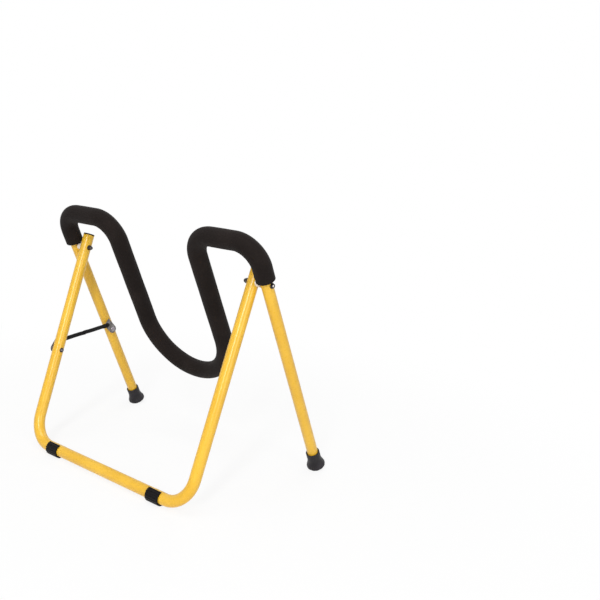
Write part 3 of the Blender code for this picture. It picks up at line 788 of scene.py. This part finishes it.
def washer():
    """A flat washer whose outer edges are rounded."""
    bore = BOLT_RADIUS + FIT_GAP
    edge = WASHER_THICKNESS / 4
    middle = (bore + WASHER_RADIUS) / 2
    profile = softened(
        [(0, middle), (0, WASHER_RADIUS), (WASHER_THICKNESS, WASHER_RADIUS), (WASHER_THICKNESS, bore),
         (0, bore), (0, middle)],
        [edge, edge, 0, 0], WASHER_ROUNDING_STEP)
    return turned(profile[:-1], WASHER_SIDES, ring=True)


def hexagonal(height, radius, angle):
    """Cuts a turned shape to the flats of a hexagon."""
    off_middle = (angle + NUT_HALF_FLAT_ANGLE) % (2 * NUT_HALF_FLAT_ANGLE) - NUT_HALF_FLAT_ANGLE
    return height, min(radius, NUT_ACROSS_FLATS / 2 / math.cos(off_middle))


def cap_nut():
    """A hexagon nut with chamfered corners and a dome, its seat at the start."""
    bore = BOLT_RADIUS + FIT_GAP
    drawn = NUT_CORNER_RADIUS - NUT_CHAMFER_INWARD
    profile = [(THREAD_IN_NUT + NUT_CHAMFER, 0), (THREAD_IN_NUT + NUT_CHAMFER, bore), (0, bore),
               (0, drawn), (NUT_CHAMFER, NUT_CORNER_RADIUS),
               (NUT_HEX_HEIGHT - NUT_CHAMFER, NUT_CORNER_RADIUS), (NUT_HEX_HEIGHT, drawn),
               (NUT_HEX_HEIGHT, NUT_DOME_RADIUS + NUT_DOME_LIP)]
    profile += dome(NUT_HEX_HEIGHT, NUT_DOME_HEIGHT, NUT_DOME_RADIUS, NUT_DOME_STEPS)
    return turned(profile, NUT_SIDES, shape=hexagonal)


def saddled(wrap):
    """Shape of a round spacer whose start fits over a tube that runs along the piece's own Y."""
    def fit(height, radius, angle):
        if height > 0:
            return height, radius
        off = radius * math.cos(angle)
        reach = math.sqrt((TUBE_RADIUS + FIT_GAP) ** 2 - off ** 2) - TUBE_RADIUS
        return max(-wrap, reach) + height, radius
    return fit


def spacer(radius, length, wrap):
    """A round spacer from a tube's face, hollowed to sit on it, with an eased far edge."""
    bore = BOLT_RADIUS + FIT_GAP
    rings = 5
    seat = [(0, bore + (radius - bore) * i / rings) for i in range(rings + 1)]
    far = softened([(length / 2, radius), (length, radius), (length, bore), (length / 2, bore)],
                   [SPACER_EDGE, SPACER_EDGE])
    return turned(seat + far, SPACER_SIDES, ring=True, shape=saddled(wrap))


def rolled_rim(start, height, outer):
    """The rounded rim of a head or rolled tail, round the end of the shank."""
    bore = EYE_RADIUS + FIT_GAP / 3
    middle = (outer + bore) / 2
    half = (outer - bore) / 2
    steps = 10
    rim = []
    for i in range(steps + 1):
        angle = HALF_TURN * i / steps
        rim.append((start + height * math.sin(angle), middle + half * math.cos(angle)))
    return turned(rim, BOLT_SIDES, ring=True)


def shank_eye(start, rim_height):
    """Profile of a shank's low crown inside a rolled rim that rises from the start."""
    return dome(start + rim_height / 2, rim_height / 3, EYE_RADIUS)


def rivet_profile(head_height, head_radius, length):
    """A rivet with its head just behind the start and its shank along its axis."""
    head = backwards(dome(FIT_GAP, head_height, head_radius, RIVET_DOME_STEPS))
    return head + [(-FIT_GAP, RIVET_RADIUS), (length, RIVET_RADIUS), (length, 0)]


def make_pivot(word, side, bright, dark, nylon):
    """Bolt with its head outside the leg, spacer, washers, and cap nut inside the arm."""
    def settle_at(x, direction, name, mesh_data, coat, node):
        at = BASE_PLANE @ aimed((side * x, 0, 0), (side * direction, 0, 0))
        settle(name + word, mesh_data, at, "base_frame", coat, node + word)

    arm_face = arm_x(0) + TUBE_RADIUS
    outer_seat = leg_x(0) + TUBE_RADIUS + FIT_GAP
    head = outer_seat + WASHER_THICKNESS + FIT_GAP
    inner_seat = arm_x(0) - TUBE_RADIUS - FIT_GAP
    nut_seat = inner_seat - WASHER_THICKNESS - FIT_GAP
    length = head - nut_seat + THREAD_IN_NUT
    screw = [(-length, 0), (-length, BOLT_RADIUS), (0, BOLT_RADIUS), (0, EYE_RADIUS)]
    screw += shank_eye(0, PIVOT_HEAD_HEIGHT)
    settle_at(head, 1, "pivot_screw_", turned(screw, BOLT_SIDES), bright, "pivot_bolt_")
    rim = rolled_rim(0, PIVOT_HEAD_HEIGHT, PIVOT_HEAD_RADIUS)
    settle_at(head, 1, "pivot_rim_", rim, dark, "pivot_bolt_")
    settle_at(outer_seat, 1, "outer_disc_", washer(), dark, "pivot_outer_washer_")
    settle_at(inner_seat, -1, "inner_disc_", washer(), dark, "pivot_inner_washer_")
    settle_at(nut_seat, -1, "dome_nut_", cap_nut(), dark, "pivot_cap_nut_")
    sleeve = spacer(SPACER_RADIUS, SPACER_LENGTH - FIT_GAP, SPACER_WRAP)
    settle_at(arm_face, 1, "nylon_spacer_", sleeve, nylon, "pivot_spacer_")


def circle_points(centre_y, centre_z, radius, start, end, steps):
    """(Y, Z) points along an arc from one angle to another."""
    points = []
    for i in range(steps + 1):
        angle = start + (end - start) * i / steps
        points.append((centre_y + radius * math.cos(angle), centre_z + radius * math.sin(angle)))
    return points


def belt(circles):
    """Outline of a belt pulled round circles, given anticlockwise as (Y, Z, radius)."""
    turns = []
    for (y, z, radius), (next_y, next_z, next_radius) in zip(circles, circles[1:] + circles[:1]):
        apart = math.hypot(next_y - y, next_z - z)
        heading = math.atan2(next_z - z, next_y - y)
        turns.append(heading - QUARTER + math.asin((radius - next_radius) / apart))
    outline = []
    for i, (y, z, radius) in enumerate(circles):
        wrap = (turns[i] - turns[i - 1]) % FULL_TURN
        steps = math.ceil(wrap / BEND_STEP)
        outline += circle_points(y, z, radius, turns[i - 1], turns[i - 1] + wrap, steps)
    return outline


def make_bracket(end, plane, body, tube_x, inward, coats):
    """Flat bracket with its seat, its rivet through the tube and its link rivet.

    inward is the direction along X from the tube to the links. The rivet through the tube has
    a round head on the bracket and a rolled tail round its grey end on the tube's far side.
    """
    forward = -inward * STAY_PIVOT_FORWARD
    face = tube_x + inward * BRACKET_FACE
    back = face - inward * BRACKET_THICKNESS
    circles = [(0, 0, BRACKET_FOOT_RADIUS), (STAY_PIVOT_FORWARD, STAY_PIVOT_RISE, BRACKET_EAR_RADIUS),
               (BRACKET_APEX_FORWARD, BRACKET_APEX_RISE, BRACKET_APEX_RADIUS)]
    outline = [(-inward * y, z - STAY_ANCHOR_DROP) for y, z in belt(circles)]
    mesh_data = extruded(outline, min(face, back), max(face, back))
    tube_face = tube_x + inward * TUBE_RADIUS
    seat = spacer(SEAT_RADIUS, BRACKET_STANDOFF + BRACKET_THICKNESS / 2, SEAT_WRAP)
    seat.transform(aimed((tube_face, 0, -STAY_ANCHOR_DROP), (inward, 0, 0)))
    seat_mesh = bpy.data.meshes.new("seat")
    seat.to_mesh(seat_mesh)
    seat.free()
    mesh_data.from_mesh(seat_mesh)
    bpy.data.meshes.remove(seat_mesh)
    bracket = settle("bracket_" + end, mesh_data, plane, body, coats["plate"],
                     "stay_bracket_" + end)
    eased_edges(bracket, BRACKET_EDGE)

    length = BRACKET_FACE + TUBE_RADIUS + 2 * FIT_GAP
    anchor = backwards(dome(0, ANCHOR_HEAD_HEIGHT, ANCHOR_HEAD_RADIUS))
    anchor += [(0, BOLT_RADIUS), (length, BOLT_RADIUS), (length, EYE_RADIUS)]
    anchor += shank_eye(length, ANCHOR_TAIL_HEIGHT)
    at = plane @ aimed((face + inward * FIT_GAP, 0, -STAY_ANCHOR_DROP), (-inward, 0, 0))
    screw = turned(anchor, BOLT_SIDES)
    settle("stay_screw_" + end, screw, at, body, coats["screw"], "stay_anchor_" + end)
    tail = rolled_rim(length, ANCHOR_TAIL_HEIGHT, ANCHOR_TAIL_RADIUS)
    settle("stay_tail_" + end, tail, at, body, coats["tail"], "stay_anchor_" + end)
    grip = BRACKET_THICKNESS + LINK_THICKNESS + 2 * FIT_GAP
    rivet = rivet_profile(RIVET_HEAD_HEIGHT, RIVET_HEAD_RADIUS, grip)[:-1]
    rivet += dome(grip, RIVET_HEAD_HEIGHT, RIVET_HEAD_RADIUS, RIVET_DOME_STEPS)
    at = plane @ aimed((back, forward, -LINK_PIVOT_DROP), (inward, 0, 0))
    pin = turned(rivet, RIVET_SIDES)
    settle("bracket_rivet_" + end, pin, at, body, coats["pin"], "stay_rivet_" + end)


def soft_step(share):
    """A share held between 0 and 1, with a soft start and end."""
    share = max(0.0, min(1.0, share))
    return share * share * (3 - 2 * share)


def link_half_width(height):
    """Half the width of a link at a height above its pivot, rounded at both ends."""
    if height < 0:
        return math.sqrt(max(0.0, LINK_END_HALF_WIDTH ** 2 - height ** 2))
    if height > LINK_LENGTH:
        return math.sqrt(max(0.0, LINK_HALF_WIDTH ** 2 - (height - LINK_LENGTH) ** 2))
    narrowed = soft_step((height - LINK_END_LENGTH) / LINK_TAPER)
    return LINK_END_HALF_WIDTH + (LINK_HALF_WIDTH - LINK_END_HALF_WIDTH) * narrowed


def link_mesh(inward):
    """A stepped strip with rounded ends and a shallow channel along both faces.

    The pivot is at the origin. The strip steps towards the other link between pivot and elbow.
    """
    elbow_x = -inward * (FIT_GAP + LINK_THICKNESS) / 2
    tubes_apart = leg_x(-STAY_ANCHOR_DROP) - arm_x(-STAY_ANCHOR_DROP)
    step = tubes_apart / 2 - BRACKET_FACE - LINK_THICKNESS - 1.5 * FIT_GAP
    turns = [QUARTER * i / LINK_END_STEPS for i in range(LINK_END_STEPS + 1)]
    heights = [-LINK_END_HALF_WIDTH * math.cos(turn) for turn in turns[:-1]]
    count = round(LINK_LENGTH / LINK_STATION)
    heights += [LINK_LENGTH * i / count for i in range(count)]
    heights += [LINK_LENGTH + LINK_HALF_WIDTH * math.sin(turn) for turn in turns]
    mesh_data = bmesh.new()
    loops = []
    for height in heights:
        width = max(link_half_width(height), FIT_GAP)
        stepped = (height - LINK_STEP_START) / (LINK_STEP_END - LINK_STEP_START)
        middle = elbow_x - inward * step * (1 - soft_step(stepped))
        near_end = min(height - LINK_END_LENGTH, LINK_LENGTH - LINK_END_LENGTH - height)
        depth = LINK_CHANNEL * soft_step(near_end / LINK_CHANNEL_FADE)
        edge = min(LINK_EDGE, width / 3)
        bank = min(LINK_CHANNEL_HALF_WIDTH, width / 2)
        bed = bank * LINK_CHANNEL_FLOOR
        half = LINK_THICKNESS / 2
        face = [(-width, half - edge), (-width + edge, half), (-bank, half), (-bed, half - depth),
                (bed, half - depth), (bank, half), (width - edge, half), (width, half - edge)]
        ring = face + [(y, -x) for y, x in reversed(face)]
        loops.append([mesh_data.verts.new((middle + x, y, height)) for y, x in ring])
    for first, second in zip(loops, loops[1:]):
        ring_faces(mesh_data, first, second)
    mesh_data.faces.new(loops[0])
    mesh_data.faces.new(loops[-1])
    return mesh_data


def make_link(end, plane, body, forward, tilt, inward, coat):
    """One stay link and its half of the elbow rivet, about the link's pivot."""
    pivot = Matrix.Translation((FRONT.x, forward, -LINK_PIVOT_DROP)) @ Matrix.Rotation(tilt, 4, "X")
    settle("link_" + end, link_mesh(inward), plane @ pivot, body, coat, "stay_link_" + end)
    outer = -inward * (FIT_GAP / 2 + LINK_THICKNESS)
    rivet = rivet_profile(ELBOW_HEAD_HEIGHT, ELBOW_HEAD_RADIUS, LINK_THICKNESS)
    at = plane @ pivot @ aimed((outer, 0, LINK_LENGTH), (inward, 0, 0))
    stud = turned(rivet, RIVET_SIDES)
    settle("elbow_stud_" + end, stud, at, body, coat, "elbow_rivet_" + end)


def make_stand():
    paint = powder_coat()
    rubber = moulded_rubber()
    clip_plastic = moulded_plastic("black clip plastic", (0.0028, 0.0023, 0.0027), 0.30)
    plug_plastic = moulded_plastic("black plug plastic", (0.006, 0.006, 0.006), 0.45)
    bright = plated_steel("bright plated steel", (0.92, 0.86, 0.82), (0.76, 0.71, 0.68))
    grey = plated_steel("grey plated steel", (0.34, 0.31, 0.34), (0.25, 0.23, 0.25))
    dark = dark_steel()
    nylon = natural_nylon()
    black = black_strip()
    make_base_tube(paint)
    make_saddle_tube(paint)
    make_foam(closed_cell_foam())
    for word, side in (("left", -1), ("right", 1)):
        make_end_plug(word, side, plug_plastic)
        make_floor_clip(word, side, clip_plastic)
        make_foot(word, side, rubber)
        make_pivot(word, side, bright, dark, nylon)
    arm = -arm_x(-STAY_ANCHOR_DROP)
    leg = -leg_x(-STAY_ANCHOR_DROP)
    coats = {"plate": zinc_plate(), "screw": grey, "tail": dark, "pin": black}
    make_bracket("front", BASE_PLANE, "base_frame", arm, -1, coats)
    make_bracket("rear", SADDLE_PLANE, "saddle_frame", leg, 1, coats)
    make_link("front", BASE_PLANE, "front_link", STAY_PIVOT_FORWARD, -LINK_OPEN_ANGLE, -1, black)
    make_link("rear", SADDLE_PLANE, "rear_link", -STAY_PIVOT_FORWARD, LINK_OPEN_ANGLE, 1, black)


def floor_finish():
    """White floor that keeps the stand's shadow near it and fades to plain white farther out."""
    finish = Finish("white studio floor")
    finish.tree.nodes.remove(finish.shader)
    seen = finish.add("LightPath", output="Is Camera Ray")
    mirrored = finish.add("LightPath", output="Is Glossy Ray")
    through = finish.add("LightPath", output="Is Transmission Ray")
    reach = finish.add("VectorMath", {"operation": "LENGTH"}, {0: finish.place}, output="Value")
    far = finish.between(reach, FLOOR_SHADE_FULL, FLOOR_SHADE_GONE)
    grain = finish.mottle(30, 2.0)
    colour = finish.blend(grain, (0.86, 0.86, 0.86), (0.90, 0.90, 0.90))
    diffuse = finish.add("BsdfDiffuse", None, {"Color": colour})
    glow = finish.add("Emission", None, {"Color": (1.0, 1.0, 1.0), "Strength": 1.0})
    share = (seen + mirrored + through) * (1 - (1 - far) * FLOOR_SHADE)
    surface = finish.add("MixShader", None, {0: share, 1: diffuse, 2: glow})
    finish.plug(finish.tree.nodes["Material Output"].inputs["Surface"], surface)
    return finish.material


def make_floor():
    mesh_data = bmesh.new()
    bmesh.ops.create_grid(mesh_data, x_segments=4, y_segments=4, size=FLOOR_REACH)
    mesh = bpy.data.meshes.new("studio_floor")
    mesh_data.to_mesh(mesh)
    mesh_data.free()
    mesh.materials.append(floor_finish())
    floor = bpy.data.objects.new("studio_floor", mesh)
    floor.location.z = -FLOOR_DROP
    bpy.context.collection.objects.link(floor)


def light_world():
    """Even grey light from all round, white to the camera, in reflections and through clear pieces."""
    world = bpy.data.worlds.new("studio")
    bpy.context.scene.world = world
    world.use_nodes = True
    tree = world.node_tree
    background = tree.nodes["Background"]
    background.inputs["Color"].default_value = (1.0, 1.0, 1.0, 1.0)
    rays = tree.nodes.new("ShaderNodeLightPath")
    seen = rays.outputs["Is Camera Ray"]
    for kind in ("Is Glossy Ray", "Is Transmission Ray"):
        either = tree.nodes.new("ShaderNodeMath")
        either.operation = "MAXIMUM"
        tree.links.new(seen, either.inputs[0])
        tree.links.new(rays.outputs[kind], either.inputs[1])
        seen = either.outputs[0]
    level = tree.nodes.new("ShaderNodeMapRange")
    level.inputs["To Min"].default_value = WORLD_LEVEL
    level.inputs["To Max"].default_value = 1.0
    tree.links.new(seen, level.inputs["Value"])
    tree.links.new(level.outputs["Result"], background.inputs["Strength"])


def softbox(name, place, width, height, watts):
    """A rectangular lamp that looks at the middle of the stand."""
    lamp = bpy.data.lights.new(name, "AREA")
    lamp.shape = "RECTANGLE"
    lamp.size = width
    lamp.size_y = height
    lamp.energy = watts
    holder = bpy.data.objects.new(name, lamp)
    holder.location = place
    towards = Vector((0, 0, AIM_HEIGHT)) - Vector(place)
    holder.rotation_euler = towards.to_track_quat("-Z", "Y").to_euler()
    bpy.context.collection.objects.link(holder)


def make_camera():
    """Camera at the photograph's view, placed by where the stand's middle is in the picture."""
    camera = bpy.data.cameras.new("photo_camera")
    camera.lens = CAMERA_LENS
    camera.sensor_width = SENSOR_WIDTH
    holder = bpy.data.objects.new("photo_camera", camera)
    turn = (Matrix.Rotation(CAMERA_TURN, 4, "Z") @ Matrix.Rotation(QUARTER - CAMERA_PITCH, 4, "X")
            @ Matrix.Rotation(CAMERA_ROLL, 4, "Z"))
    pixel = SENSOR_WIDTH / CAMERA_LENS / PHOTO_SIZE * CAMERA_DISTANCE
    right = (AIM_PIXEL[0] - PHOTO_SIZE / 2) * pixel
    down = (AIM_PIXEL[1] - PHOTO_SIZE / 2) * pixel
    aim = Vector((0, PIVOT.y, AIM_HEIGHT))
    place = aim - turn.to_3x3() @ Vector((right, -down, -CAMERA_DISTANCE))
    holder.matrix_world = Matrix.Translation(place) @ turn
    bpy.context.collection.objects.link(holder)
    bpy.context.scene.camera = holder


make_stand()
make_floor()
light_world()
softbox("key light", (1.8, -3.8, 2.8), 0.6, 2.8, 134)
softbox("top light", (0.2, -0.8, 4.2), 2.4, 2.4, 60)
softbox("fill light", (4.4, -1.2, 1.3), 1.4, 2.6, 48)
softbox("back light", (-0.9, 4.0, 3.2), 2.4, 1.8, 40)
make_camera()
bpy.context.scene.view_settings.view_transform = "Standard"
